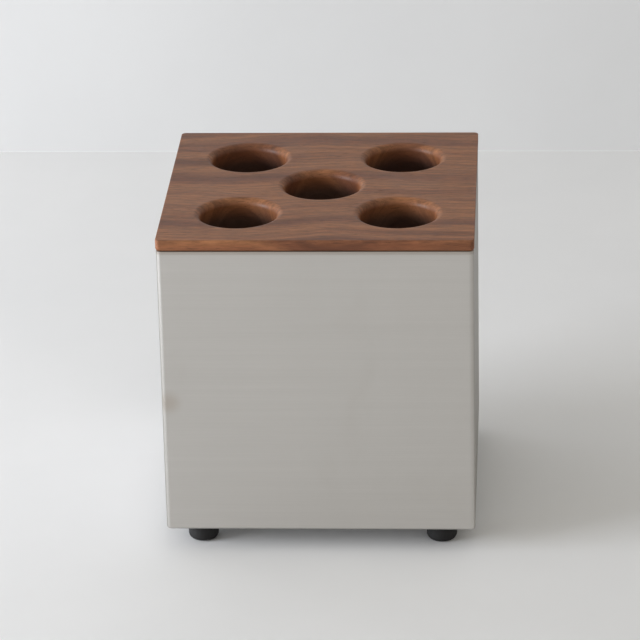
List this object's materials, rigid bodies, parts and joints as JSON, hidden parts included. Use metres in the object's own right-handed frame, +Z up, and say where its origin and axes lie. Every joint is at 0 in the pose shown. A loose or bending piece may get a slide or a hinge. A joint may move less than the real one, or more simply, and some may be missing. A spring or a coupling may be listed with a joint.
{
  "type": "umbrella stand",
  "caption": "Square brushed-steel umbrella stand on rubber feet, with a lift-off walnut lid pierced by round holes and a lift-out drip tray.",
  "frame": {"origin": "on the floor under the middle of the box, at the centre of the object's footprint", "axes": "+Z up, -Y towards the front, +X towards the right as seen from the front"},
  "size_m": [0.21, 0.21, 0.2267],
  "materials": {
    "walnut": "oiled walnut, satin, fine straight grain from left to right",
    "brushed_steel": "fine horizontal brushing, satin",
    "plain_steel": "plain mill finish",
    "ballast_black": "thin matt black paint on hot-rolled plate",
    "zinc_steel": "bright zinc plating",
    "black_rubber": "matt moulded rubber"
  },
  "bodies": {
    "box": {"steel_sleeve": "brushed_steel", "seam_strip": "plain_steel", "base_plate": "plain_steel", "ballast_plate": "ballast_black", "foot_front_left": "black_rubber", "foot_screw_front_left": "zinc_steel", "foot_cup_washer_front_left": "zinc_steel", "foot_washer_front_left": "zinc_steel", "foot_nut_front_left": "zinc_steel", "foot_front_right": "black_rubber", "foot_screw_front_right": "zinc_steel", "foot_cup_washer_front_right": "zinc_steel", "foot_washer_front_right": "zinc_steel", "foot_nut_front_right": "zinc_steel", "foot_back_left": "black_rubber", "foot_screw_back_left": "zinc_steel", "foot_cup_washer_back_left": "zinc_steel", "foot_washer_back_left": "zinc_steel", "foot_nut_back_left": "zinc_steel", "foot_back_right": "black_rubber", "foot_screw_back_right": "zinc_steel", "foot_cup_washer_back_right": "zinc_steel", "foot_washer_back_right": "zinc_steel", "foot_nut_back_right": "zinc_steel"},
    "lid": {"lid_board": "walnut"},
    "tray": {"drip_tray": "plain_steel", "ferrule_cup_front_left": "black_rubber", "ferrule_cup_front_right": "black_rubber", "ferrule_cup_back_left": "black_rubber", "ferrule_cup_back_right": "black_rubber", "ferrule_cup_middle": "black_rubber"}
  },
  "joints": [
    {"name": "lid_lift", "type": "slide", "parent": "box", "child": "lid", "axis": [0, 0, 1], "range_m": [0, 0.45]},
    {"name": "tray_lift", "type": "slide", "parent": "box", "child": "tray", "axis": [0, 0, 1], "range_m": [0, 0.225]}
  ],
  "couplings": [
    {"joint": "tray_lift", "follows": "lid_lift", "ratio": 0.5}
  ]
}
